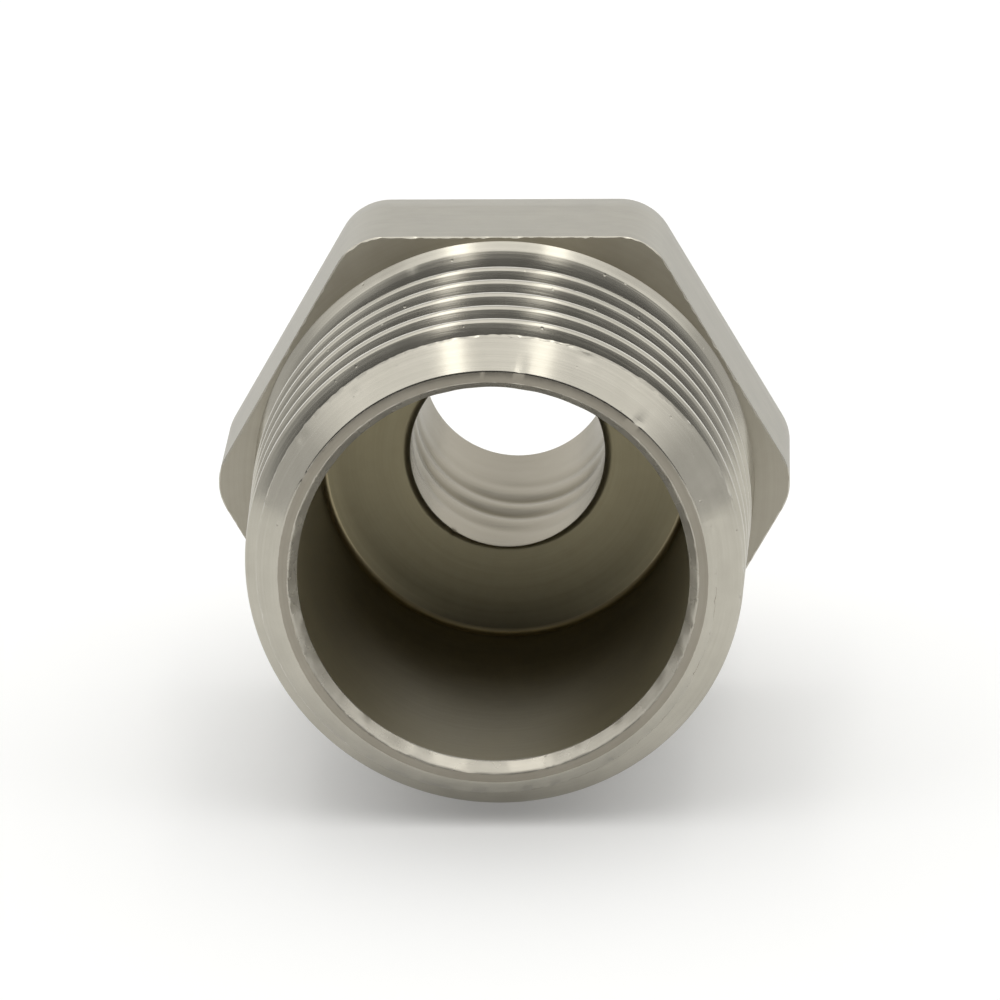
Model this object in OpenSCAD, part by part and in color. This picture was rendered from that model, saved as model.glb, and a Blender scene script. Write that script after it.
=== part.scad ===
// Reducing nipple: one turned piece that joins a large pipe thread to a small one.
// A tapered male end stands on each side of a hexagon, and a stepped bore runs right through.
// The axis lies along Y with the large end towards -Y. The part lies on one flat of its
// hexagon, which is the plane Z = 0, and the origin is under the middle of its length.
// The male ends are the blanks that the fine threads are cut on, at the diameter of the crests.

/* [Hexagon] */
// Width of the hexagon across its flats, for a 7/8 inch spanner
hex_af = 22.225; // [22:0.005:27]
// Length of the hexagon along the axis
hex_len = 6.35; // [4:0.05:12]
// Radius that rounds the six corners of the hexagon
hex_corner_r = 2.4; // [0.5:0.1:4]

/* [Thread blanks] */
// Length in which a pipe thread's diameter grows by one unit
taper_run = 16; // [12:0.5:24]
// Lean of each flank of the relief grooves, in degrees from square to the axis
flank_angle = 30; // [15:1:40]

/* [Large end] */
// Length of the large end, from its end face to the hexagon
large_len = 13.7; // [11.5:0.05:20]
// Diameter of the large end's crests at the end face
large_d = 20.96; // [20.2:0.01:21.3]
// Outer diameter of the flat end face, where the lead chamfer starts
large_face_d = 18.12; // [17.5:0.01:19.4]
// Length of the lead chamfer along the axis
large_chamfer_len = 1.25; // [0.6:0.05:1.8]
// Drop from the crests to the plain neck beside the hexagon
large_neck_drop = 0.41; // [0.2:0.01:0.6]
// Plain neck left between the relief groove and the hexagon
large_land = 0.45; // [0.3:0.01:0.9]
// Width of the relief groove at its mouth
large_relief_w = 2.5; // [2:0.05:3.5]
// Depth of the relief groove below the neck
large_relief_depth = 1.05; // [0.4:0.05:1.3]
// Length of the cone in which the neck flares out to the hexagon
large_flare_len = 0.52; // [0.2:0.01:0.9]
// Width by which that cone grows
large_flare_w = 0.42; // [0.2:0.01:0.6]

/* [Small end] */
// Length of the small end, from its end face to the hexagon
small_len = 12.25; // [9:0.05:18]
// Diameter of the small end's crests at the end face
small_d = 13.26; // [12.6:0.01:14]
// Outer diameter of the flat end face, where the lead chamfer starts
small_face_d = 11.2; // [10.6:0.01:12.2]
// Length of the lead chamfer along the axis
small_chamfer_len = 1.0; // [0.5:0.05:1.5]
// Drop from the crests to the plain neck beside the hexagon
small_neck_drop = 0.3; // [0.2:0.01:0.5]
// Plain neck left between the relief groove and the hexagon
small_land = 0.45; // [0.3:0.01:0.9]
// Width of the relief groove at its mouth
small_relief_w = 2.1; // [1.6:0.05:3]
// Depth of the relief groove below the neck
small_relief_depth = 0.85; // [0.3:0.05:1]
// Length of the cone in which the neck flares out to the hexagon
small_flare_len = 0.52; // [0.2:0.01:0.9]
// Width by which that cone grows
small_flare_w = 0.42; // [0.2:0.01:0.6]

/* [Bore] */
// Diameter of the large bore
large_bore_d = 16.5; // [15:0.05:17]
// Depth of the large bore, from the end face to the outer edge of its shoulder
large_bore_depth = 17.6; // [12:0.05:18.5]
// Radius of the corner between the large bore and its shoulder
shoulder_corner_r = 0.3; // [0.1:0.05:0.8]
// Slope of the shoulder towards the small bore, in degrees
shoulder_angle = 5.5; // [1:0.5:12]
// Length of the chamfer in the large bore's mouth
large_mouth_len = 0.46; // [0.3:0.01:1]
// Width of the chamfer in the large bore's mouth
large_mouth_w = 0.38; // [0.1:0.01:0.45]
// Diameter of the small bore
small_bore_d = 8.6; // [7:0.05:9.6]
// Broken edge where the small bore leaves the shoulder
inner_break = 0.3; // [0.1:0.05:0.6]
// Broken edge where the small bore leaves the small end
small_mouth = 0.35; // [0.1:0.05:0.6]

/* [Hidden] */
$fn = 96;

overlap = 1;
cut_past = 0.1;

total_len = large_len + hex_len + small_len;
hex_apothem = hex_af / 2;
metal_colour = [0.66, 0.65, 0.61];

// Radius of a blank's crest line at a distance from its end face
function crest_r(end_d, from_end) = end_d / 2 + from_end / (2 * taper_run);

// Radius of a plain neck, under the crest line where it would reach the hexagon
function neck_r(end_d, len, drop) = crest_r(end_d, len) - drop;

// Hexagon with round corners: flats above and below, corners to the left and right
module hexagon_outline() {
    corner_at = (hex_apothem - hex_corner_r) / cos(30);
    polygon([for (corner = [0:5], side = [-30, 30])
        corner_at * [cos(60 * corner), sin(60 * corner)]
        + hex_corner_r * [cos(60 * corner + side), sin(60 * corner + side)]]);
    for (corner = [0:5])
        rotate(60 * corner)
            translate([corner_at, 0])
                circle(r = hex_corner_r);
}

// Male end standing along +Z, with its end face at z = 0 and the hexagon's face at z = len
module thread_blank(len, end_d, face_d, chamfer_len, drop) {
    crest_end = crest_r(end_d, chamfer_len);
    rotate_extrude()
        polygon([
            [0, 0],
            [face_d / 2, 0],
            [crest_end, chamfer_len],
            [crest_r(end_d, len - overlap), len - overlap],
            [neck_r(end_d, len, drop), len - overlap],
            [neck_r(end_d, len, drop), len + overlap],
            [0, len + overlap]
        ]);
}

// Ring that widens a neck to a cone where it meets the hexagon
module neck_flare(len, root_r, flare_len, flare_w) {
    rotate_extrude()
        polygon([
            [root_r - overlap, len - flare_len],
            [root_r, len - flare_len],
            [root_r + flare_w, len],
            [root_r + flare_w, len + overlap],
            [root_r - overlap, len + overlap]
        ]);
}

// Ring that the relief groove removes between the last thread and the neck
module relief_cut(len, end_d, root_r, land, mouth_w, depth) {
    lean = tan(flank_angle);
    far_z = len - land;
    near_z = far_z - mouth_w;
    out = crest_r(end_d, len) + cut_past - root_r;
    rotate_extrude()
        polygon([
            [root_r - depth, near_z + depth * lean],
            [root_r + out, near_z - out * lean],
            [root_r + out, far_z + out * lean],
            [root_r - depth, far_z - depth * lean]
        ]);
}

// One whole male end: blank, flare held within the hexagon's flats, and relief groove
module male_end(len, end_d, face_d, chamfer_len, drop, land, relief_w, relief_depth, flare_len, flare_w) {
    root_r = neck_r(end_d, len, drop);
    difference() {
        union() {
            thread_blank(len, end_d, face_d, chamfer_len, drop);
            intersection() {
                neck_flare(len, root_r, flare_len, flare_w);
                linear_extrude(len + overlap) hexagon_outline();
            }
        }
        relief_cut(len, end_d, root_r, land, relief_w, relief_depth);
    }
}

// The stepped bore as one solid of revolution, from the large mouth to the small one
module stepped_bore() {
    wall_r = large_bore_d / 2;
    small_r = small_bore_d / 2;
    // Centre of the corner arc, which touches the wall and the sloping shoulder
    corner_z = large_bore_depth + shoulder_corner_r * (tan(shoulder_angle) - 1 / cos(shoulder_angle));
    corner_x = wall_r - shoulder_corner_r;
    break_r = small_r + inner_break;
    break_z = large_bore_depth + (wall_r - break_r) * tan(shoulder_angle);
    mouth_slope = large_mouth_w / large_mouth_len;
    rotate_extrude() {
        polygon([
            [0, -overlap],
            [wall_r + large_mouth_w + overlap * mouth_slope, -overlap],
            [wall_r, large_mouth_len],
            [wall_r, corner_z],
            [corner_x + shoulder_corner_r * sin(shoulder_angle),
             corner_z + shoulder_corner_r * cos(shoulder_angle)],
            [break_r, break_z],
            [small_r, break_z + inner_break],
            [small_r, total_len - small_mouth],
            [small_r + small_mouth + overlap, total_len + overlap],
            [0, total_len + overlap]
        ]);
        translate([corner_x, corner_z])
            circle(r = shoulder_corner_r);
    }
}

module nipple_body() {
    color(metal_colour)
        translate([0, -total_len / 2, hex_apothem])
            rotate([-90, 0, 0])
                difference() {
                    union() {
                        translate([0, 0, large_len])
                            linear_extrude(hex_len) hexagon_outline();
                        male_end(large_len, large_d, large_face_d, large_chamfer_len, large_neck_drop,
                                 large_land, large_relief_w, large_relief_depth,
                                 large_flare_len, large_flare_w);
                        translate([0, 0, total_len])
                            mirror([0, 0, 1])
                                male_end(small_len, small_d, small_face_d, small_chamfer_len,
                                         small_neck_drop, small_land, small_relief_w,
                                         small_relief_depth, small_flare_len, small_flare_w);
                    }
                    stepped_bore();
                }
}

nipple_body();
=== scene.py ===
# %% [markdown]
# # A reducing nipple in bright steel
# A reducing nipple joins a large pipe to a small one. It is turned from one bar: a
# hexagon for the spanner stands in the middle, a tapered male thread on each side of it,
# and a stepped bore runs right through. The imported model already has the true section,
# but its two male ends are smooth. This lesson adds what the lathe leaves: the two
# threads, the burrs and dents of handling, and metal that shines as turned steel does.

import math

import bmesh
import bpy
import numpy as np
from mathutils import Matrix, Vector, noise


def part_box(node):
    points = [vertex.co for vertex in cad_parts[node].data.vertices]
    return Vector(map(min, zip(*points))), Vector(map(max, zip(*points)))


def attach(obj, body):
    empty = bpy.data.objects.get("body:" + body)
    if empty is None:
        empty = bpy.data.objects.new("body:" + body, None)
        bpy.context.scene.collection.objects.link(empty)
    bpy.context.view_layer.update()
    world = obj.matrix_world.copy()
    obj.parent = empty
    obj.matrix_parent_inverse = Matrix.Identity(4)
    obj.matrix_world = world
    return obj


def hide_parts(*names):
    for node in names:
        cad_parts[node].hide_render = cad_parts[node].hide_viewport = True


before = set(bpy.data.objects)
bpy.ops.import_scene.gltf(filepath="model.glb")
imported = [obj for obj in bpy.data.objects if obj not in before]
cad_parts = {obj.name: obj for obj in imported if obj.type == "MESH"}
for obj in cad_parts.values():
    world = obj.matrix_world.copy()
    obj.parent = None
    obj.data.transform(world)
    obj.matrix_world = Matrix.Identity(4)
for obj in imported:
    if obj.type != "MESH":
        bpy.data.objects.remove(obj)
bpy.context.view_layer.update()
low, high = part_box("nipple_body")
print("model box in mm:", [round(v * 1000, 3) for v in (*low, *high)])

# %% [markdown]
# ## The sizes
# A maker's drawing gives every distance from the end face of the large end, along the
# axis, and every size across as a radius. We keep to that, in millimetres, and turn the
# result into metres once, when the mesh is made. The overall length and the width across
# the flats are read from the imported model, so the two can't drift apart.

# %% Driving sizes of the turned piece
MM = 0.001
TOTAL_LEN = (high.y - low.y) / MM
HEX_APOTHEM = (high.z - low.z) / MM / 2
AXIS_HEIGHT = HEX_APOTHEM

HEX_FRONT = 13.7
HEX_BACK = 20.05
HEX_CORNER_R = 2.4
TAPER_SLOPE = 1 / 32
FLANK_ANGLE = math.radians(30)
FLANK_LEAN = math.tan(FLANK_ANGLE)

LARGE_END = dict(face_at=0, length=HEX_FRONT, crest_r=10.48, face_r=9.06, chamfer=1.25,
                 neck_drop=0.41, land=0.45, relief_w=2.5, relief_depth=1.05, flare_len=0.52, flare_w=0.42)
SMALL_END = dict(face_at=TOTAL_LEN, length=TOTAL_LEN - HEX_BACK, crest_r=6.63, face_r=5.6, chamfer=1.0,
                 neck_drop=0.3, land=0.45, relief_w=2.1, relief_depth=0.85, flare_len=0.52, flare_w=0.42)

BORE_R = 8.25
BORE_DEPTH = 17.6
MOUTH_LEN = 0.46
MOUTH_W = 0.38
CORNER_R = 0.3
SHOULDER_SLOPE = math.tan(math.radians(5.5))
SMALL_BORE_R = 4.3
SMALL_MOUTH = 0.35

for end in (LARGE_END, SMALL_END):
    end["neck_r"] = end["crest_r"] + end["length"] * TAPER_SLOPE - end["neck_drop"]
print(f"length {TOTAL_LEN:.2f} mm, {2 * HEX_APOTHEM:.3f} mm across the flats")

# %% [markdown]
# ## The camera
# The photograph was taken with a long lens from a little above the axis, looking into
# the large end. The camera is placed by the angles it was found at, so that the ellipses
# of the mouth and the hexagon fall where the photograph has them. A long lens at a third
# of a metre keeps the far rim of the bore nearly as large as it really is.

# %% Camera
AZIMUTH, ELEVATION, ROLL = (math.radians(a) for a in (2.2283, 17.2364, -0.7714))
DISTANCE = 321.68 * MM
LENS_MM = 276.4
AIM_RIGHT, AIM_UP = 0.304 * MM, 3.3114 * MM

ahead_level = Vector((-math.sin(AZIMUTH), math.cos(AZIMUTH), 0))
right = Vector((math.cos(AZIMUTH), math.sin(AZIMUTH), 0))
ahead = math.cos(ELEVATION) * ahead_level - math.sin(ELEVATION) * Vector((0, 0, 1))
upward = right.cross(ahead)
picture_right = math.cos(ROLL) * right + math.sin(ROLL) * upward
picture_up = math.cos(ROLL) * upward - math.sin(ROLL) * right

mouth_centre = Vector((0, low.y, AXIS_HEIGHT * MM))
aim = mouth_centre + AIM_RIGHT * picture_right + AIM_UP * picture_up
camera = bpy.data.objects.new("camera", bpy.data.cameras.new("camera"))
camera.data.lens = LENS_MM
camera.data.sensor_width = 36
camera.data.clip_start = 0.01
turn = Matrix((picture_right, picture_up, -ahead)).transposed().to_4x4()
camera.matrix_world = Matrix.Translation(aim - DISTANCE * ahead) @ turn
bpy.context.scene.collection.objects.link(camera)
bpy.context.scene.camera = camera
print("camera stands at", [round(v, 4) for v in camera.matrix_world.translation])

# %% [markdown]
# ## Rings of points
# A turned piece is a stack of rings. Each ring holds one distance and one radius for
# every column of points round the axis, so the same code makes a plain ring, a hexagon
# or a ring with a dent in it. Columns are counted clockwise from the top, as seen from
# the large end. A number of columns that divides by twelve puts one on each corner of the
# hexagon and one on the middle of each flat. Wavers and bumps, which later make an edge
# ragged, are also one value for each column.

# %% Columns and rings
COLUMNS = 372
turn_share = np.arange(COLUMNS) / COLUMNS
angle = 2 * math.pi * turn_share
degrees = 360 * turn_share


def ring(distance, radius):
    """One ring of points; either value may be a number or one value for each column."""
    return np.array([np.broadcast_to(distance, COLUMNS), np.broadcast_to(radius, COLUMNS)], float)


def rings(points):
    """Plain rings through a list of (distance, radius) points."""
    return [ring(d, r) for d, r in points]


def waver(seed, rate, reach=1.0):
    """A smooth random value for each column, within reach of 0; a higher rate changes faster."""
    return np.array([reach * noise.noise((rate * math.sin(a), rate * math.cos(a), seed)) for a in angle])


def bump_at(centre, width):
    """A soft hump over the columns, with its top of 1 at an angle in degrees."""
    away = (degrees - centre + 180) % 360 - 180
    return np.exp(-(away / width) ** 2)


column_gap = 2 * math.pi * LARGE_END["crest_r"] / COLUMNS
print(f"{COLUMNS} columns, {column_gap:.2f} mm apart at the large thread")

# %% [markdown]
# ## The hexagon's outline
# Seen along the axis, the hexagon is six flats with round corners. For a ring we need
# its radius at each column: the flat's distance divided by a cosine, or, near a corner,
# the far side of the corner's own circle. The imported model's corners are many-sided, so
# the result is held within its width.

# %% Radius of the hexagon round the axis
SIDE_ANGLE = math.pi / 3
HALF_SIDE = SIDE_ANGLE / 2
corner_at = (HEX_APOTHEM - HEX_CORNER_R) / math.cos(HALF_SIDE)
flat_angle = (angle + HALF_SIDE) % SIDE_ANGLE - HALF_SIDE
corner_angle = angle % SIDE_ANGLE - HALF_SIDE
corner_side = np.maximum(HEX_CORNER_R ** 2 - (corner_at * np.sin(corner_angle)) ** 2, 0)
flat_radius = HEX_APOTHEM / np.cos(flat_angle)
tangent_angle = math.atan2(HEX_CORNER_R * math.sin(HALF_SIDE),
                           corner_at + HEX_CORNER_R * math.cos(HALF_SIDE))
round_radius = corner_at * np.cos(corner_angle) + np.sqrt(corner_side)
hex_radius = np.where(np.abs(corner_angle) < tangent_angle, round_radius, flat_radius)
hex_radius = np.minimum(hex_radius, high.x / MM)
print(f"hexagon runs from {hex_radius.min():.3f} to {hex_radius.max():.3f} mm from the axis")

# %% [markdown]
# ## A thread that follows the grid
# A thread could be cut with a boolean, but the knife edges would tear the mesh. Here the
# rows of points run along the helix instead, so each crest and each root is one clean
# line of edges. After one turn a row arrives one pitch further on, and the seam joins it
# to the row that starts there. The lead chamfer and the flank of the relief groove are
# not rows of the helix: they cap it, and the nearest point of each column is moved to
# exactly where the cap meets the thread. A value for each column, the first cut, says how
# much of the groove before the first crest has been cut there.

# %% Rows along the helix
ROOT_HALF = 0.03
SEARCH_STEPS = 4001


def thread_drop(along, pitch, half_crest, crest_round):
    """How far the surface lies under the crest line, at a distance from the crest's middle."""
    off = np.abs((along + pitch / 2) % pitch - pitch / 2)
    into = np.clip(off - half_crest, 0, None)
    arc_end = crest_round * math.cos(FLANK_ANGLE)
    arc = crest_round - np.sqrt(crest_round ** 2 - np.minimum(into, arc_end) ** 2)
    return arc + np.clip(into - arc_end, 0, None) / FLANK_LEAN


def helix_rows(start, stop, cap, crest_line, first_crest, first_cut, pitch, half_crest, crest_round, bends):
    """Rows of (distance, radius) that follow a thread between two plain rings."""
    # One row at each bend of the round crest, one halfway down each flank, and the root
    half = pitch / 2
    steps = [half_crest + crest_round * math.sin(math.radians(bend)) for bend in bends]
    steps += [0.5 * (steps[-1] + half - ROOT_HALF), half - ROOT_HALF]
    one_turn = [-s for s in reversed(steps)] + steps + [half]
    turns = math.ceil((stop - start) / pitch) + 2
    before = math.floor((start - first_crest) / pitch) - 1
    offsets = np.array([pitch * (before + t) + s for t in range(turns + 1) for s in one_turn])

    middle = first_crest + pitch * turn_share
    floor_drop = thread_drop(half - ROOT_HALF, pitch, half_crest, crest_round)

    def thread_radius(distance, column):
        drop = np.minimum(thread_drop(distance - middle[column], pitch, half_crest, crest_round), floor_drop)
        share = np.where(distance < middle[column], first_cut[column], 1)
        return crest_line(distance) - drop * share

    # Where the cap crosses the thread, the nearest point of the column moves to the crossing
    distance = np.clip(middle[:, None] + offsets[None, :], start, stop)
    fine = np.linspace(start, stop, SEARCH_STEPS)
    for column in range(COLUMNS):
        gap = cap(fine) - thread_radius(fine, column)
        crossings = np.nonzero(np.diff(np.sign(gap)))[0]
        for k in crossings:
            share = gap[k] / (gap[k] - gap[k + 1])
            meets = fine[k] + share * (fine[k + 1] - fine[k])
            inside = (distance[column] > start) & (distance[column] < stop)
            if inside.any():
                reach = np.where(inside, np.abs(distance[column] - meets), np.inf)
                distance[column, np.argmin(reach)] = meets
    radius = np.minimum(cap(distance), np.array([thread_radius(distance[c], c) for c in range(COLUMNS)]))
    rows = [np.array([distance[:, j], radius[:, j]]) for j in range(len(offsets))]
    return rows, len(one_turn)


def lead_and_relief(end):
    """The cap over a thread: the lead chamfer at its start and the relief groove's near flank."""
    crest_at_chamfer = end["crest_r"] + end["chamfer"] * TAPER_SLOPE
    chamfer_slope = (crest_at_chamfer - end["face_r"]) / end["chamfer"]
    relief_near = end["length"] - end["land"] - end["relief_w"]

    def cap(distance):
        inward = np.abs(distance - end["face_at"])
        chamfer = end["face_r"] + inward * chamfer_slope
        groove = end["neck_r"] - (inward - relief_near) / FLANK_LEAN
        return np.minimum(chamfer, groove)

    return cap


print("a flank drops", round(1 / FLANK_LEAN, 3), "mm for each mm along the axis")

# %% [markdown]
# ## Cutting the two threads
# The large end has a 1/2 inch taper pipe thread, 14 to the inch, and the small end a 1/4
# inch one, 18 to the inch. Both have a 60 degree form, grow by 1 in 16 and are
# right-handed. The photograph shows where the large thread's first crest stands at the
# top, and that the groove before it only begins where that crest comes clear of the
# chamfer. The small thread is hidden, so its start is only a sensible one.

# %% Large and small threads
LARGE_PITCH = 25.4 / 14
SMALL_PITCH = 25.4 / 18
LARGE_FIRST_CREST = 0.886
SMALL_FIRST_CREST = TOTAL_LEN - 1.1
FIRST_GROOVE_AT = 66
FIRST_GROOVE_GROWS = 12
FACE_BREAK = 0.025
INTO_RELIEF = 0.97


def thread_for(end, pitch, half_crest, crest_round, first_crest, first_cut, bends):
    """The thread of one end, from its end face to just above the floor of its relief groove."""
    relief_near = end["length"] - end["land"] - end["relief_w"]
    inner = relief_near + INTO_RELIEF * end["relief_depth"] * FLANK_LEAN
    start, stop = sorted((abs(end["face_at"] - FACE_BREAK), abs(end["face_at"] - inner)))

    def crest_line(distance):
        return end["crest_r"] + np.abs(distance - end["face_at"]) * TAPER_SLOPE

    return helix_rows(start, stop, lead_and_relief(end), crest_line,
                      first_crest, first_cut, pitch, half_crest, crest_round, bends)


large_cut = np.clip((degrees - FIRST_GROOVE_AT) / FIRST_GROOVE_GROWS, 0, 1)
large_rows, large_seam = thread_for(
    LARGE_END, LARGE_PITCH, half_crest=0.06, crest_round=0.2,
    first_crest=LARGE_FIRST_CREST, first_cut=large_cut, bends=(0, 20, 40, 60))
small_rows, small_seam = thread_for(
    SMALL_END, SMALL_PITCH, half_crest=0.05, crest_round=0.12,
    first_crest=SMALL_FIRST_CREST, first_cut=np.ones(COLUMNS), bends=(0, 60))
print(len(large_rows), "rows on the large thread,", len(small_rows), "on the small one")

# %% [markdown]
# ## Marks of handling on the large end
# A lathe leaves a thin burr where the chamfer breaks into the first groove, and loose
# fittings knock each other in their bin. The photograph shows both: a torn bright lip
# folded over the top of the chamfer, a few short dents in it, a nick in the neck's lip
# and one in the small bore's rim. Each dent is a soft hollow pressed into the rows we
# already have, so it casts its own small highlight. In a bore the metal lies outside the
# rings, so the nick in the rim has a depth below zero.

# %% Burrs and dents
BURR_SLOPE = 0.45
BURR_WIDTH = 0.075
BURR_FROM = 0.3
BURR_PAST = 0.1
LIP_CREEP = 0.3
TOUCHES = 1e-6
CLEARLY = 1e-3
DENTS = [
    # degrees, distance, half length round the axis, half length along it, depth
    (8, 0.14, 0.12, 0.14, 0.05),
    (23, 1.00, 0.22, 0.12, 0.04),
    (37, 1.05, 0.16, 0.12, 0.04),
    (42, 0.12, 0.16, 0.14, 0.06),
    (68, 0.78, 0.16, 0.14, 0.06),
    (273, 0.77, 0.50, 0.09, 0.03),
    (300, 0.12, 0.16, 0.14, 0.06),
    (307, 0.78, 0.20, 0.12, 0.05),
    (325, 0.58, 0.14, 0.14, 0.05),
]
LIP_NICK = [(338.5, 13.28, 0.10, 0.08, 0.02)]
RIM_NICK = [(214, 18.08, 0.10, 0.14, -0.07)]


def press_dents(rows, dents):
    """Lower the rows softly round each dent."""
    for row in rows:
        for at, distance, half_round, half_along, depth in dents:
            away_round = ((degrees - at + 180) % 360 - 180) * math.pi / 180 * row[1] / half_round
            away_along = (row[0] - distance) / half_along
            row[1] -= depth * np.exp(-away_round ** 2 - away_along ** 2)


def fold_burr(rows, cap, reach, width):
    """Bend the last strip of the chamfer, beside the first groove, into a ragged flatter lip."""
    ragged = 0.9 + waver(3.1, 40) + 0.8 * waver(8.2, 90) + 0.5 * bump_at(5, 45)
    lip = width * np.clip(ragged, 0.3, 2.0)
    torn = waver(5.7, 110, 0.3) * lip
    for before, row, following in zip(rows, rows[1:], rows[2:]):
        within = (row[0] > BURR_FROM) & (row[0] < reach)
        on_chamfer = within & (np.abs(row[1] - cap(row[0])) < TOUCHES)
        last = on_chamfer & (following[1] < cap(following[0]) - CLEARLY)
        edge = row[0] + np.where(last, LIP_CREEP * (lip - width), 0)
        before[0] = np.where(last, edge - lip, before[0])
        before[1] = np.where(last, cap(edge - lip), before[1])
        row[0] = np.where(last, edge, row[0])
        row[1] = np.where(last, cap(edge - lip) + BURR_SLOPE * lip + torn, row[1])


fold_burr(large_rows, lead_and_relief(LARGE_END), LARGE_END["chamfer"] + BURR_PAST, BURR_WIDTH)
press_dents(large_rows, DENTS)
print(len(DENTS), "dents pressed into the lead chamfer")

# %% [markdown]
# ## The section, ring by ring
# Now the whole section is walked once: out over the end face, along the outside to the
# small end and back through the bore. Every stretch has a name and a finish. The neck
# flares to the hexagon in a short cone, and the front edge of the hexagon keeps the thin
# uneven burr that the facing cut pushed up, which shines like turned steel.

# %% Stretches of the section
HEX_BURR = 0.055
BACK_EDGE = 0.08
LIP_BREAK = 0.02
FLOOR_RING = 1.3
FLARE_SHARES = (0.05, 0.35, 0.65, 0.97)
ARC_MIDDLE = 0.3


def relief_and_flare(end):
    """Points from the relief groove's floor over its lip, and up the cone to the hexagon."""
    far = end["length"] - end["land"]
    near = far - end["relief_w"]
    floor_r = end["neck_r"] - end["relief_depth"]
    lean = end["relief_depth"] * FLANK_LEAN
    flare_slope = end["flare_w"] / end["flare_len"]
    flare_start = end["length"] - end["flare_len"]
    lip_d = (far - flare_start * flare_slope * FLANK_LEAN) / (1 - flare_slope * FLANK_LEAN)
    lip_r = end["neck_r"] + (lip_d - flare_start) * flare_slope
    groove = [(near + lean, floor_r), (near + FLOOR_RING * lean, floor_r),
              (far - FLOOR_RING * lean, floor_r), (far - lean, floor_r),
              (0.5 * (far - lean + lip_d), 0.5 * (floor_r + lip_r)),
              (lip_d - LIP_BREAK * FLANK_LEAN, lip_r - LIP_BREAK)]
    flare = [(lip_d + t * (end["length"] - lip_d), lip_r + t * (end["length"] - lip_d) * flare_slope)
             for t in FLARE_SHARES]
    return groove, flare


def mirrored(points):
    """Points measured from the small end face, turned round to be measured from the large one."""
    return [(TOTAL_LEN - d, r) for d, r in reversed(points)]


def stretch_between(first, last, count):
    """Rings in even steps from one (distance, radius) pair to another."""
    return [ring(first[0] + (last[0] - first[0]) * t, first[1] + (last[1] - first[1]) * t)
            for t in np.linspace(0, 1, count + 1)]


large_groove, large_flare = relief_and_flare(LARGE_END)
small_groove, small_flare = relief_and_flare(SMALL_END)
flare_rows = rings(large_flare)
press_dents(flare_rows, LIP_NICK)
large_foot = LARGE_END["neck_r"] + LARGE_END["flare_w"]
small_foot = SMALL_END["neck_r"] + SMALL_END["flare_w"]

burr = HEX_BURR + np.clip(waver(6.6, 60, 0.045) + waver(9.1, 130, 0.06), -0.03, 0.04)
hex_front = stretch_between((HEX_FRONT, large_foot), (HEX_FRONT, hex_radius - burr), 4)
hex_side = stretch_between((HEX_FRONT + burr, hex_radius), (HEX_BACK - BACK_EDGE, hex_radius), 5)
back_edge = [ring(HEX_BACK - ARC_MIDDLE * BACK_EDGE, hex_radius - ARC_MIDDLE * BACK_EDGE)]
hex_back = stretch_between((HEX_BACK, hex_radius - BACK_EDGE), (HEX_BACK, small_foot), 5)
print("neck radii:", round(LARGE_END["neck_r"], 3), "and", round(SMALL_END["neck_r"], 3), "mm")

# %% [markdown]
# ## The bore
# The large bore was drilled and its shoulder faced with a slight slope. The edge where
# the small bore starts is broken unevenly: wide at the sides, and narrow at the bottom.
# The small bore still shows the long soft waves of its drill, which wind along it like a
# very coarse thread. They are about a tenth of a millimetre deep, but light that grazes
# the wall finds them at once, so they are real waves in the rings; their troughs are
# also painted darker, as painted shade. The mouth of the large bore has a hand-made
# chamfer, with small facets along it.

# %% Rings of the bore
WAVE_PITCH = 2.3
WAVE_STARTS = 3
WAVE_BEND = 4.1
WAVE_AT = 24.65
WAVE_MIDDLE = 23.6
WAVE_REACH = 2.7
WAVE_DEPTH = 0.11
WAVE_SHARPNESS = 1.5
HALF_PI = math.pi / 2
INNER_BREAK = 0.38
INNER_BREAK_LOSS = 0.25
MOUTH_GAP = 0.12
inner_break = INNER_BREAK - INNER_BREAK_LOSS * bump_at(180, 50)
break_d = BORE_DEPTH + (BORE_R - SMALL_BORE_R - inner_break) * SHOULDER_SLOPE
slope = math.atan(SHOULDER_SLOPE)
corner_d = BORE_DEPTH + CORNER_R * (SHOULDER_SLOPE - 1 / math.cos(slope))
corner_r = BORE_R - CORNER_R


def small_bore_ring(distance):
    """One ring of the small bore, with the drill's waves strongest in its middle."""
    reach = np.exp(-((distance - WAVE_MIDDLE) / WAVE_REACH) ** 2)
    phase = 2 * math.pi * ((distance - WAVE_AT) / WAVE_PITCH - WAVE_STARTS * turn_share)
    trough = (0.5 + 0.5 * np.cos(phase + WAVE_BEND * np.cos(angle))) ** WAVE_SHARPNESS
    return ring(distance, SMALL_BORE_R + WAVE_DEPTH * reach * trough)


small_bore = [small_bore_ring(d) for d in np.linspace(TOTAL_LEN - SMALL_MOUTH, break_d + inner_break, 44)]
inner_edge = [ring(break_d + inner_break * (1 - math.cos(b)), SMALL_BORE_R + inner_break * (1 - math.sin(b)))
              for b in np.linspace(HALF_PI, 0, 6)[1:-1]]
press_dents(inner_edge, RIM_NICK)
press_dents(small_bore, RIM_NICK)
shoulder_edge = corner_r + CORNER_R * math.sin(slope)
shoulder = [ring(BORE_DEPTH + (BORE_R - r) * SHOULDER_SLOPE, r)
            for r in np.linspace(SMALL_BORE_R + inner_break, shoulder_edge, 6)]
corner = [ring(corner_d + CORNER_R * math.cos(b), corner_r + CORNER_R * math.sin(b))
          for b in np.linspace(slope, HALF_PI, 5)]
large_bore = [ring(d, BORE_R) for d in np.linspace(corner_d, MOUTH_LEN + MOUTH_GAP, 9)[1:]]
print(f"small bore: waves {WAVE_PITCH} mm apart and up to {WAVE_DEPTH} mm deep")

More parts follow.
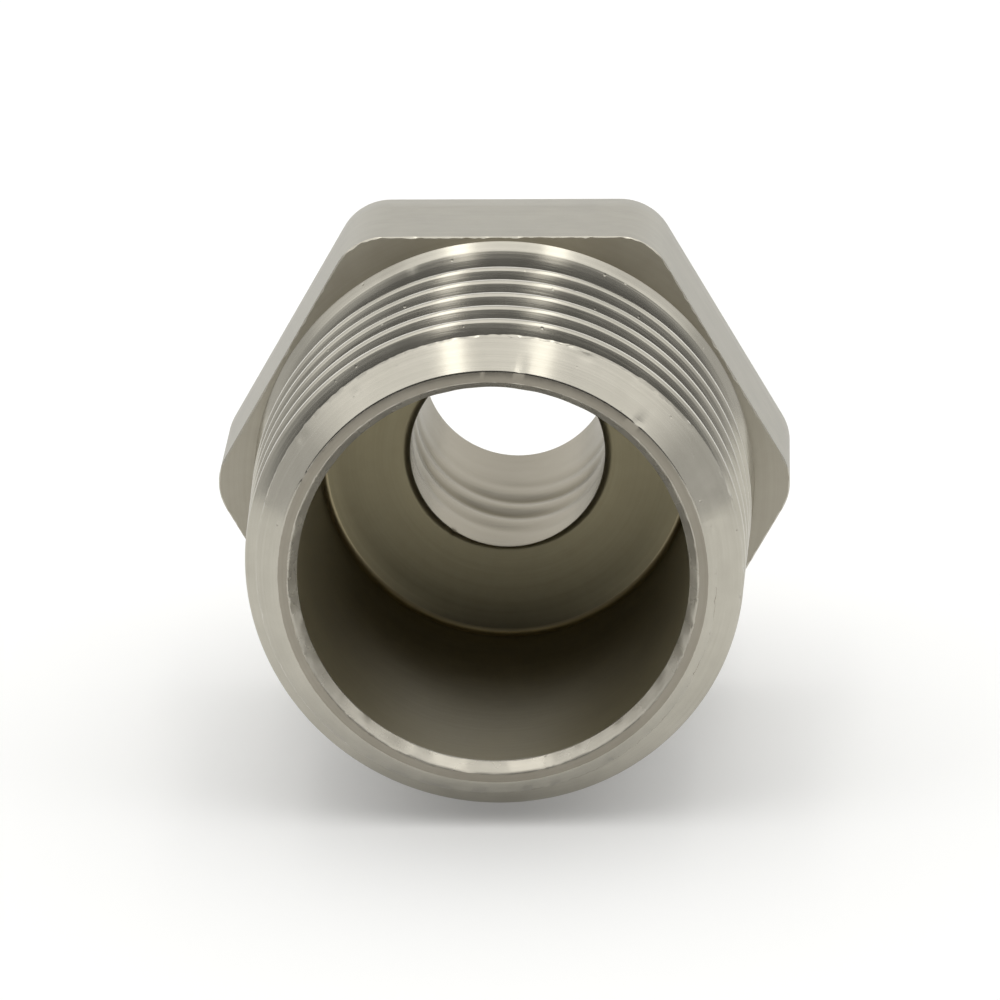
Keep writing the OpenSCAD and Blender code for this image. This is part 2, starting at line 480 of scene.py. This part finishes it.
# %% Rings of the mouth
MOUTH_BREAK_LEN, MOUTH_BREAK_W = 0.02, 0.04
MOUTH_LIP = 0.02
MOUTH_OFF_CENTRE = 0.04
mouth_w = MOUTH_W - MOUTH_OFF_CENTRE * np.cos(angle)
facets = 0.02 * waver(1.7, 14) + 0.013 * waver(4.4, 30)
mouth = []
for t in np.linspace(0, 1, 6):
    chatter = facets * math.sin(math.pi * t)
    inner_wave = (1 - t) * waver(7.3, 9, 0.09)
    distance = MOUTH_LEN + (MOUTH_BREAK_LEN - MOUTH_LEN) * t + inner_wave + chatter
    mouth.append(ring(distance, BORE_R + (mouth_w - MOUTH_LIP) * t - np.abs(chatter)))
print(f"mouth chamfer {mouth_w.min():.2f} to {mouth_w.max():.2f} mm wide, in {len(mouth)} rings")

# %% [markdown]
# ## One closed skin
# The stretches are joined in order, and the last ring meets the first, so the skin is
# closed. Rows of a thread that had run past their end were stopped there and lie on top
# of each other; merging points that coincide removes them. Faces are shaded smooth, and
# only edges that really are sharp are kept crisp.

# %% Order of the stretches
END_FACE_STEP = 0.08
FINISHES = ["turned_steel", "faced_steel", "mouth_steel", "square_faced_steel", "hexagon_steel",
            "bore_steel", "shoulder_steel", "corner_steel", "drilled_steel"]
end_face = [ring(0, BORE_R + mouth_w - MOUTH_LIP + MOUTH_BREAK_W * (1 + waver(3.3, 40, 0.7))),
            ring(0, BORE_R + mouth_w + END_FACE_STEP),
            ring(0, LARGE_END["face_r"] - FACE_BREAK * (1 + np.abs(waver(3.9, 50))))]
small_face = rings([(TOTAL_LEN, SMALL_END["face_r"] - FACE_BREAK), (TOTAL_LEN, SMALL_BORE_R + SMALL_MOUTH)])

STRETCHES = [
    ("end face", end_face, 0, "faced_steel"),
    ("large thread", large_rows, large_seam, "turned_steel"),
    ("large relief", rings(large_groove), 0, "turned_steel"),
    ("large flare", flare_rows, 0, "turned_steel"),
    ("hexagon front", hex_front, 0, "square_faced_steel"),
    ("front edge", hex_side[:1], 0, "turned_steel"),
    ("hexagon flats", hex_side[1:], 0, "hexagon_steel"),
    ("back edge", back_edge, 0, "turned_steel"),
    ("hexagon back", hex_back, 0, "square_faced_steel"),
    ("small flare", rings(mirrored(small_flare)), 0, "turned_steel"),
    ("small relief", rings(mirrored(small_groove)), 0, "turned_steel"),
    ("small thread", small_rows, small_seam, "turned_steel"),
    ("small end face", small_face, 0, "faced_steel"),
    ("small bore", small_bore, 0, "drilled_steel"),
    ("inner edge", inner_edge, 0, "bore_steel"),
    ("shoulder", shoulder, 0, "shoulder_steel"),
    ("corner", corner, 0, "corner_steel"),
    ("large bore", large_bore, 0, "bore_steel"),
    ("mouth chamfer", mouth, 0, "mouth_steel"),
]
print("rings:", ", ".join(f"{name} {len(rows)}" for name, rows, _, _ in STRETCHES))


# %% Points and faces
def place(row):
    """The points of one ring, in metres."""
    distance, radius = row
    return np.stack([radius * np.sin(angle), distance - TOTAL_LEN / 2,
                     AXIS_HEIGHT + radius * np.cos(angle)], axis=1) * MM


def skin(stretches):
    """Points and faces of all stretches, each face with the number of its finish."""
    points, faces, finishes = [], [], []
    last_row = None
    for _, rows, seam, finish in stretches:
        first = len(points)
        points.extend(place(row) for row in rows)
        number = FINISHES.index(finish)
        pairs = [(first + j, first + j + 1, seam) for j in range(len(rows) - 1)]
        if last_row is not None:
            pairs.insert(0, (last_row, first, 0))
        last_row = first + len(rows) - 1
        for a, b, shift in pairs:
            for c in range(COLUMNS - 1):
                faces.append((a * COLUMNS + c, a * COLUMNS + c + 1, b * COLUMNS + c + 1, b * COLUMNS + c))
            over_a, over_b = a + shift, b + shift
            if over_b <= last_row:
                faces.append((a * COLUMNS + COLUMNS - 1, over_a * COLUMNS, over_b * COLUMNS,
                              b * COLUMNS + COLUMNS - 1))
            finishes.extend([number] * (len(faces) - len(finishes)))
    for c in range(COLUMNS):
        after = (c + 1) % COLUMNS
        faces.append((last_row * COLUMNS + c, last_row * COLUMNS + after, after, c))
    finishes.extend([FINISHES.index("mouth_steel")] * COLUMNS)
    return np.concatenate(points), faces, finishes


points, faces, finishes = skin(STRETCHES)
print(len(points), "points and", len(faces), "faces before merging")

# %% Build the mesh
MERGE_WITHIN = 0.0005 * MM
mesh = bpy.data.meshes.new("nipple")
mesh.from_pydata(points.tolist(), [], faces)
mesh.polygons.foreach_set("material_index", finishes)
nipple = bpy.data.objects.new("nipple", mesh)
bpy.context.scene.collection.objects.link(nipple)

work = bmesh.new()
work.from_mesh(mesh)
bmesh.ops.remove_doubles(work, verts=work.verts, dist=MERGE_WITHIN)
bmesh.ops.dissolve_degenerate(work, dist=MERGE_WITHIN, edges=work.edges)
bmesh.ops.recalc_face_normals(work, faces=work.faces)
open_edges = sum(not e.is_manifold for e in work.edges)
work.to_mesh(mesh)
work.free()
triangles = sum(len(p.vertices) - 2 for p in mesh.polygons)
print(f"{len(mesh.vertices)} points, {triangles} triangles, {open_edges} open edges")

# %% Smooth faces and crisp edges
CRISP_ANGLE = math.radians(24)
ON_RING = 1e-7
mesh.polygons.foreach_set("use_smooth", [True] * len(mesh.polygons))
mesh.set_sharp_from_angle(angle=CRISP_ANGLE)
chamfer_start = (TOTAL_LEN / 2 - FACE_BREAK) * MM
for edge in mesh.edges:
    if all(abs(abs(mesh.vertices[v].co.y) - chamfer_start) < ON_RING for v in edge.vertices):
        edge.use_edge_sharp = True
print(sum(edge.use_edge_sharp for edge in mesh.edges), "crisp edges of", len(mesh.edges))

# %% [markdown]
# ## Tool marks as a node group
# Every turned face carries fine rings left by the tool, and so does the bore. They follow
# the lathe: across the section they change quickly, round the axis hardly at all. The
# group turns a place on the piece into the section's own coordinates, which are distance
# along the axis and radius, and looks up noise there. Every finish of the steel uses it.
# First come a few helpers that keep the building of nodes short.

# %% Helpers for node trees
def add(tree, kind, **values):
    """A new node with some of its properties or inputs set."""
    node = tree.nodes.new(kind)
    for name, value in values.items():
        if hasattr(node, name):
            setattr(node, name, value)
        else:
            node.inputs[name.replace("_", " ")].default_value = value
    return node


def new_group(name, inputs, outputs):
    """An empty shader node group with float or vector sockets, and its two end nodes."""
    tree = bpy.data.node_groups.new(name, "ShaderNodeTree")
    for socket, kind, value in inputs:
        item = tree.interface.new_socket(socket, in_out="INPUT", socket_type=kind)
        if value is not None:
            item.default_value = value
    for socket in outputs:
        tree.interface.new_socket(socket, in_out="OUTPUT", socket_type="NodeSocketFloat")
    return tree, tree.nodes.new("NodeGroupInput"), tree.nodes.new("NodeGroupOutput")


def math_node(tree, operation, first, second=None):
    """A math node whose inputs are sockets or numbers; returns its output."""
    node = add(tree, "ShaderNodeMath", operation=operation)
    for socket, value in zip(node.inputs, (first, second)):
        if isinstance(value, bpy.types.NodeSocket):
            tree.links.new(value, socket)
        elif value is not None:
            socket.default_value = value
    return node.outputs[0]


def axis_sockets(tree, place):
    """A place in millimetres, as sideways, along, up and out from the axis."""
    parts = add(tree, "ShaderNodeSeparateXYZ")
    tree.links.new(place, parts.inputs[0])
    side, along, height = (math_node(tree, "MULTIPLY", parts.outputs[k], 1 / MM) for k in range(3))
    raised = math_node(tree, "SUBTRACT", height, AXIS_HEIGHT)
    squares = math_node(tree, "ADD", math_node(tree, "POWER", side, 2), math_node(tree, "POWER", raised, 2))
    return side, along, raised, math_node(tree, "SQRT", squares)


print("helpers: add, new_group, math_node, axis_sockets")

# %% Node group: tool marks round the axis
NEAR_AXIS = 0.1
tool_marks, group_in, group_out = new_group(
    "tool marks",
    [("Place", "NodeSocketVector", None), ("Lines", "NodeSocketFloat", 9.0),
     ("Drift", "NodeSocketFloat", 0.6), ("Contrast", "NodeSocketFloat", 1.0)],
    ["Height", "Shade"])
side, along, raised, from_axis = axis_sockets(tool_marks, group_in.outputs["Place"])
off_axis = math_node(tool_marks, "MAXIMUM", from_axis, NEAR_AXIS)
around = math_node(tool_marks, "DIVIDE", side, off_axis)
over = math_node(tool_marks, "DIVIDE", raised, off_axis)
section = add(tool_marks, "ShaderNodeCombineXYZ")
for k, (value, rate) in enumerate(((from_axis, "Lines"), (along, "Lines"), (around, "Drift"))):
    scaled = math_node(tool_marks, "MULTIPLY", value, group_in.outputs[rate])
    tool_marks.links.new(scaled, section.inputs[k])
lines = add(tool_marks, "ShaderNodeTexNoise", noise_dimensions="4D", Scale=1.0, Detail=2.0)
tool_marks.links.new(section.outputs[0], lines.inputs["Vector"])
tool_marks.links.new(math_node(tool_marks, "MULTIPLY", over, group_in.outputs["Drift"]), lines.inputs["W"])
spread = math_node(tool_marks, "MULTIPLY", math_node(tool_marks, "SUBTRACT", lines.outputs["Fac"], 0.5),
                   group_in.outputs["Contrast"])
tool_marks.links.new(math_node(tool_marks, "ADD", spread, 0.5), group_out.inputs["Height"])
tool_marks.links.new(spread, group_out.inputs["Shade"])
print("group", tool_marks.name, "has", len(tool_marks.nodes), "nodes")

# %% [markdown]
# ## Painted shade in the drill's waves
# The troughs of the small bore's waves are painted darker, as painted shade in the hollows.
# The group follows the same winding as the waves, so the dark lines lie in the real hollows.
# It gives one value: 1 in the deepest part of a trough, a small share on the plain wall
# between them, and less and less towards both ends of the bore, as the waves fade.

# %% Node group: troughs of the drill's waves
drill_waves, group_in, group_out = new_group(
    "drill waves",
    [("Place", "NodeSocketVector", None), ("Plain Share", "NodeSocketFloat", 0.12)],
    ["Oil"])
side, along, raised, from_axis = axis_sockets(drill_waves, group_in.outputs["Place"])
distance = math_node(drill_waves, "ADD", along, TOTAL_LEN / 2)
turned = math_node(drill_waves, "MULTIPLY", math_node(drill_waves, "ARCTAN2", side, raised), WAVE_STARTS)
lead = math_node(drill_waves, "MULTIPLY", math_node(drill_waves, "SUBTRACT", distance, WAVE_AT),
                 2 * math.pi / WAVE_PITCH)
bend = math_node(drill_waves, "MULTIPLY", math_node(drill_waves, "DIVIDE", raised, from_axis), WAVE_BEND)
phase = math_node(drill_waves, "ADD", math_node(drill_waves, "SUBTRACT", lead, turned), bend)
crest = math_node(drill_waves, "MULTIPLY", math_node(drill_waves, "SUBTRACT", 1.0,
                                                     math_node(drill_waves, "COSINE", phase)), 0.5)
trough = math_node(drill_waves, "SUBTRACT", 1.0, math_node(drill_waves, "SQRT", crest))
off_middle = math_node(drill_waves, "DIVIDE", math_node(drill_waves, "SUBTRACT", distance, WAVE_MIDDLE),
                       WAVE_REACH)
reach = math_node(drill_waves, "EXPONENT", math_node(drill_waves, "MULTIPLY", -1.0,
                                                     math_node(drill_waves, "POWER", off_middle, 2)))
# painted shade in the wave troughs, with a small share on the plain wall
painted_trough_shade = math_node(drill_waves, "MAXIMUM", trough, group_in.outputs["Plain Share"])
drill_waves.links.new(math_node(drill_waves, "MULTIPLY", painted_trough_shade, reach), group_out.inputs["Oil"])
print("group", drill_waves.name, "has", len(drill_waves.nodes), "nodes")

# %% [markdown]
# ## Handling wear as a node group
# Steel that has been tumbled with its fellows is never one even tone. The group gives two
# things: a broad cloudy value that varies colour and shine, and small sparse specks, from
# a Voronoi pattern of which only a chosen share of the cells shows.

# %% Node group: clouds and specks
handling, group_in, group_out = new_group(
    "handling wear",
    [("Place", "NodeSocketVector", None), ("Cloud Size", "NodeSocketFloat", 2.0),
     ("Speck Size", "NodeSocketFloat", 0.4), ("Speck Share", "NodeSocketFloat", 0.2)],
    ["Cloud", "Speck"])
SPECK_FADE = 4.0


def scaled_place(tree, place, size):
    """A place divided by a size in millimetres, for a texture's vector."""
    node = add(tree, "ShaderNodeVectorMath", operation="SCALE")
    tree.links.new(place, node.inputs[0])
    tree.links.new(math_node(tree, "DIVIDE", 1 / MM, size), node.inputs["Scale"])
    return node.outputs[0]


cloud = add(handling, "ShaderNodeTexNoise", Scale=1.0, Detail=3.0, Roughness=0.6)
handling.links.new(scaled_place(handling, group_in.outputs["Place"], group_in.outputs["Cloud Size"]),
                   cloud.inputs["Vector"])
cells = add(handling, "ShaderNodeTexVoronoi", Scale=1.0)
handling.links.new(scaled_place(handling, group_in.outputs["Place"], group_in.outputs["Speck Size"]),
                   cells.inputs["Vector"])
cell_draw = add(handling, "ShaderNodeSeparateColor")
handling.links.new(cells.outputs["Color"], cell_draw.inputs[0])
chosen = math_node(handling, "LESS_THAN", cell_draw.outputs[0], group_in.outputs["Speck Share"])
near = math_node(handling, "SUBTRACT", 1.0,
                 math_node(handling, "MULTIPLY", cells.outputs["Distance"], SPECK_FADE))
handling.links.new(math_node(handling, "MULTIPLY", chosen, math_node(handling, "MAXIMUM", near, 0.0)),
                   group_out.inputs["Speck"])
handling.links.new(cloud.outputs["Fac"], group_out.inputs["Cloud"])
print("group", handling.name, "has", len(handling.nodes), "nodes")

# %% [markdown]
# ## Nine finishes of one steel
# The metal is the same everywhere and its surface changes from place to place. The turned
# ends are brightest, with rings that draw each highlight out across them, so they take an
# anisotropic shader. The end faces, the mouth and the faces of the hexagon were cut
# square or by hand and are rougher. The end faces and the faces of the hexagon are also
# painted darker, as painted shade for the dim floor they reflect, and the mouth is
# painted a little lighter, as painted light. The flats of the hexagon are drawn bar stock
# with a soft, finely pitted satin. The large bore and its shoulder are painted darker and
# warmer, as painted shade in the hollow, and the corner between them is painted lighter,
# as a painted highlight along it; the small bore is drilled. Where the metal is dull it
# scatters light, so it is less than fully metallic.

# %% A finish of the steel
SHADE_OF_LINES = 0.6
QUARTER_TURN = 0.25
OIL_TINT = (0.7, 0.68, 0.63, 1)


def mix_colours(tree, share, dark, light):
    """A mix of two colours by a socket; returns the colour output."""
    node = add(tree, "ShaderNodeMix", data_type="RGBA")
    tree.links.new(share, node.inputs[0])
    node.inputs[6].default_value = (*dark, 1)
    node.inputs[7].default_value = (*light, 1)
    return node.outputs[2]


def steel(name, dark, light, roughness, rough_spread, lines, line_height, speck_size, speck_share,
          speck_depth, anisotropic, metallic=1.0, trough_shade_colour=None):
    """A finish of the steel: tool marks, clouds and specks at this finish's own scale."""
    material = bpy.data.materials.new(name)
    material.use_nodes = True
    tree = material.node_tree
    shader = tree.nodes["Principled BSDF"]
    shader.inputs["Metallic"].default_value = metallic
    shader.inputs["Anisotropic"].default_value = anisotropic
    place = add(tree, "ShaderNodeTexCoord").outputs["Object"]

    marks = add(tree, "ShaderNodeGroup", node_tree=tool_marks)
    marks.inputs["Lines"].default_value = lines
    wear = add(tree, "ShaderNodeGroup", node_tree=handling)
    wear.inputs["Speck Size"].default_value = speck_size
    wear.inputs["Speck Share"].default_value = speck_share
    tree.links.new(place, marks.inputs["Place"])
    tree.links.new(place, wear.inputs["Place"])

    line_shade = math_node(tree, "MULTIPLY", marks.outputs["Shade"], SHADE_OF_LINES)
    tint = math_node(tree, "ADD", wear.outputs["Cloud"], line_shade)
    colour = mix_colours(tree, tint, dark, light)
    # the small bore's wave troughs are mixed towards a painted shade colour
    if trough_shade_colour:
        waves = add(tree, "ShaderNodeGroup", node_tree=drill_waves)
        tree.links.new(place, waves.inputs["Place"])
        trough_shade_mix = add(tree, "ShaderNodeMix", data_type="RGBA")
        tree.links.new(waves.outputs["Oil"], trough_shade_mix.inputs[0])
        tree.links.new(colour, trough_shade_mix.inputs[6])
        trough_shade_mix.inputs[7].default_value = (*trough_shade_colour, 1)
        colour = trough_shade_mix.outputs[2]
        shader.inputs["Specular Tint"].default_value = OIL_TINT
    tree.links.new(colour, shader.inputs["Base Color"])
    rough = math_node(tree, "ADD", math_node(tree, "MULTIPLY", wear.outputs["Cloud"], rough_spread),
                      roughness - rough_spread / 2)
    tree.links.new(rough, shader.inputs["Roughness"])

    lines_bump = add(tree, "ShaderNodeBump", Strength=1.0, Distance=line_height * MM)
    tree.links.new(marks.outputs["Height"], lines_bump.inputs["Height"])
    specks_bump = add(tree, "ShaderNodeBump", Strength=1.0, Distance=speck_depth * MM)
    specks_bump.invert = True
    tree.links.new(wear.outputs["Speck"], specks_bump.inputs["Height"])
    tree.links.new(lines_bump.outputs[0], specks_bump.inputs["Normal"])
    tree.links.new(specks_bump.outputs[0], shader.inputs["Normal"])
    if anisotropic:
        tangent = add(tree, "ShaderNodeTangent", direction_type="RADIAL", axis="Y")
        shader.inputs["Anisotropic Rotation"].default_value = QUARTER_TURN
        tree.links.new(tangent.outputs[0], shader.inputs["Tangent"])
    return material


print("each finish is built by steel() from", tool_marks.name, "and", handling.name)

# %% The nine finishes
IN_THE_BORE = dict(speck_size=0.4, speck_share=0.0, speck_depth=0.004, anisotropic=0.3)
materials = {
    "turned_steel": steel("turned_steel", (0.385, 0.366, 0.312), (0.515, 0.49, 0.425), 0.18, 0.08,
                          lines=9.0, line_height=0.003, speck_size=0.30, speck_share=0.05,
                          speck_depth=0.007, anisotropic=0.3),
    # painted shade: the end faces are darker than turned steel, for the dim floor they reflect
    "faced_steel": steel("faced_steel", (0.255, 0.232, 0.188), (0.35, 0.322, 0.268), 0.30, 0.10,
                         lines=11.0, line_height=0.004, speck_size=0.35, speck_share=0.05,
                         speck_depth=0.004, anisotropic=0.4, metallic=0.8),
    # painted light: the mouth chamfer is rougher and a little lighter in colour than turned steel
    "mouth_steel": steel("mouth_steel", (0.40, 0.375, 0.315), (0.58, 0.55, 0.475), 0.27, 0.12,
                         lines=5.0, line_height=0.004, speck_size=0.30, speck_share=0.10,
                         speck_depth=0.006, anisotropic=0.0, metallic=0.6),
    # painted shade: the faces of the hexagon are darker than turned steel, for the dim floor they reflect
    "square_faced_steel": steel("square_faced_steel", (0.30, 0.277, 0.226), (0.40, 0.374, 0.312), 0.30, 0.08,
                                lines=6.0, line_height=0.001, speck_size=0.35, speck_share=0.03,
                                speck_depth=0.002, anisotropic=0.2),
    "hexagon_steel": steel("hexagon_steel", (0.27, 0.256, 0.215), (0.37, 0.352, 0.302), 0.42, 0.08,
                           lines=3.0, line_height=0.001, speck_size=0.22, speck_share=0.25,
                           speck_depth=0.009, anisotropic=0.0),
    # painted shade: the large bore is darker and warmer than the outside, for the shade in the hollow
    "bore_steel": steel("bore_steel", (0.215, 0.187, 0.112), (0.317, 0.28, 0.18), 0.36, 0.08,
                        lines=7.0, line_height=0.002, metallic=0.5, **IN_THE_BORE),
    # painted shade: the shoulder is darker and warmer than the outside, for the shade in the hollow
    "shoulder_steel": steel("shoulder_steel", (0.245, 0.214, 0.128), (0.355, 0.315, 0.20), 0.32, 0.08,
                            lines=7.0, line_height=0.002, metallic=0.7, **IN_THE_BORE),
    # painted highlight: the corner is lighter than the bore, for the bright line along it
    "corner_steel": steel("corner_steel", (0.36, 0.30, 0.18), (0.50, 0.43, 0.27), 0.30, 0.08,
                          lines=7.0, line_height=0.002, metallic=0.8, **IN_THE_BORE),
    # painted shade: the wave troughs of the small bore take this dark colour
    "drilled_steel": steel("drilled_steel", (0.226, 0.208, 0.174), (0.31, 0.289, 0.248), 0.22, 0.10,
                           lines=5.0, line_height=0.003, trough_shade_colour=(0.07, 0.058, 0.034), **IN_THE_BORE),
}
for finish in FINISHES:
    mesh.materials.append(materials[finish])
print("finishes:", ", ".join(m.name for m in mesh.materials))

# %% [markdown]
# ## Joining the piece to the model
# The detailed skin rides on the model's only body and stands for its one node. The
# weighted normals keep the large faces flat where they meet narrow ones.

# %% Ride on the model
flatter = nipple.modifiers.new("flat faces", "WEIGHTED_NORMAL")
flatter.keep_sharp = True
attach(nipple, "root")
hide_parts("nipple_body")
print(nipple.name, "stands for nipple_body")

# %% [markdown]
# ## The floor
# The piece lies on a wide sheet of pale matt paper. The paper has a faint glow of its
# own, as if lit from other lamps of the studio, so it stays nearly white while the
# shadow under the piece stays soft.

# %% Floor
FLOOR_HALF = 3.0
PAPER_GLOW = 0.17
PAPER_COLOUR = (0.80, 0.80, 0.795, 1)
floor_mesh = bpy.data.meshes.new("floor")
floor_mesh.from_pydata([(-FLOOR_HALF, -FLOOR_HALF, 0), (FLOOR_HALF, -FLOOR_HALF, 0),
                        (FLOOR_HALF, FLOOR_HALF, 0), (-FLOOR_HALF, FLOOR_HALF, 0)], [], [(0, 1, 2, 3)])
floor = bpy.data.objects.new("floor", floor_mesh)
bpy.context.scene.collection.objects.link(floor)
paper = bpy.data.materials.new("pale_paper")
paper.use_nodes = True
floor_mesh.materials.append(paper)

paper_shader = paper.node_tree.nodes["Principled BSDF"]
paper_shader.inputs["Base Color"].default_value = PAPER_COLOUR
paper_shader.inputs["Roughness"].default_value = 0.9
paper_shader.inputs["Emission Color"].default_value = (1, 1, 1, 1)
paper_shader.inputs["Emission Strength"].default_value = PAPER_GLOW
print("floor is", 2 * FLOOR_HALF, "m wide")

# %% [markdown]
# ## Two strip lights
# Bright metal shows its surroundings more than itself, so the light is laid out as in a
# product studio. Two long narrow strips run overhead from front to back and draw the two
# bright lines over the thread, the neck and the chamfer.

# %% Strip lights
STRIP_LEAN = math.radians(14.4)
STRIP_HEIGHT = 0.8
STRIP_WIDTH = 0.10
STRIP_LENGTH = 1.46
STRIP_MIDDLE = 0.065
LEFT_WATTS, RIGHT_WATTS = 0.75, 0.66
LAMP_COLOUR = (1.0, 0.985, 0.95)


def strip_light(name, side, watts):
    """One long lamp above the piece that runs from front to back."""
    lamp = bpy.data.lights.new(name, "AREA")
    lamp.shape = "RECTANGLE"
    lamp.size, lamp.size_y = STRIP_WIDTH, STRIP_LENGTH
    lamp.energy = watts
    lamp.color = LAMP_COLOUR
    holder = bpy.data.objects.new(name, lamp)
    holder.location = (side * STRIP_HEIGHT * math.tan(STRIP_LEAN), STRIP_MIDDLE, STRIP_HEIGHT)
    holder.rotation_euler = (0, side * STRIP_LEAN, 0)
    bpy.context.scene.collection.objects.link(holder)
    return holder


strips = [strip_light("left_strip", -1, LEFT_WATTS), strip_light("right_strip", 1, RIGHT_WATTS)]
print("strips at", [tuple(round(v, 3) for v in s.location) for s in strips])

# %% [markdown]
# ## The room
# The room is pale, with a brighter ceiling, but dark in front, where the camera stands;
# that darkness is what separates the flanks of the thread from their crests. It is a
# little dimmer again above and behind the piece, and a bright low backdrop behind it
# shines through the bore. Every part is a smooth step over the direction of a ray, in
# which Y points from the camera to the back and Z upwards.

# %% The room round the piece
world = bpy.data.worlds.new("studio")
bpy.context.scene.world = world
world.use_nodes = True
room = world.node_tree
direction = add(room, "ShaderNodeSeparateXYZ")
room.links.new(add(room, "ShaderNodeTexCoord").outputs["Generated"], direction.inputs[0])


def ease(value, first, last, at_first, at_last):
    """A smooth step between two values of a socket; returns the output."""
    node = add(room, "ShaderNodeMapRange", interpolation_type="SMOOTHSTEP")
    room.links.new(value, node.inputs["Value"])
    for name, number in (("From Min", first), ("From Max", last), ("To Min", at_first), ("To Max", at_last)):
        node.inputs[name].default_value = number
    return node.outputs[0]


WALL_LIGHT = 0.70
CEILING_LIGHT = 1.40
FRONT_DARKNESS = 0.90
BACK_FADE = 0.25
BACKDROP_LIGHT = 0.70
ROOM_COLOUR = (1.0, 1.0, 0.99, 1)
frontness = ease(direction.outputs["Y"], -0.62, -0.39, FRONT_DARKNESS, 0.0)
behind = ease(direction.outputs["Y"], -0.30, -0.02, 0.0, BACK_FADE)
high_behind = math_node(room, "MULTIPLY", behind, ease(direction.outputs["Z"], 0.30, 0.42, 0.0, 1.0))
shade = math_node(room, "MAXIMUM", frontness, high_behind)
below_ceiling = ease(direction.outputs["Z"], 0.80, 0.93, 1.0, 0.0)
brightness = ease(direction.outputs["Z"], 0.30, 0.60, WALL_LIGHT, CEILING_LIGHT)
left_light = math_node(room, "SUBTRACT", 1.0, math_node(room, "MULTIPLY", shade, below_ceiling))
walls = math_node(room, "MULTIPLY", brightness, left_light)
backdrop = math_node(room, "MULTIPLY", ease(direction.outputs["Y"], 0.55, 0.80, 0.0, BACKDROP_LIGHT),
                     ease(direction.outputs["Z"], 0.32, 0.45, 1.0, 0.0))
light_level = math_node(room, "ADD", walls, backdrop)
background = room.nodes["Background"]
background.inputs["Color"].default_value = ROOM_COLOUR
room.links.new(light_level, background.inputs["Strength"])
bpy.context.scene.view_settings.view_transform = "Standard"
print("walls", WALL_LIGHT, "ceiling", CEILING_LIGHT, "front", round(WALL_LIGHT * (1 - FRONT_DARKNESS), 3))
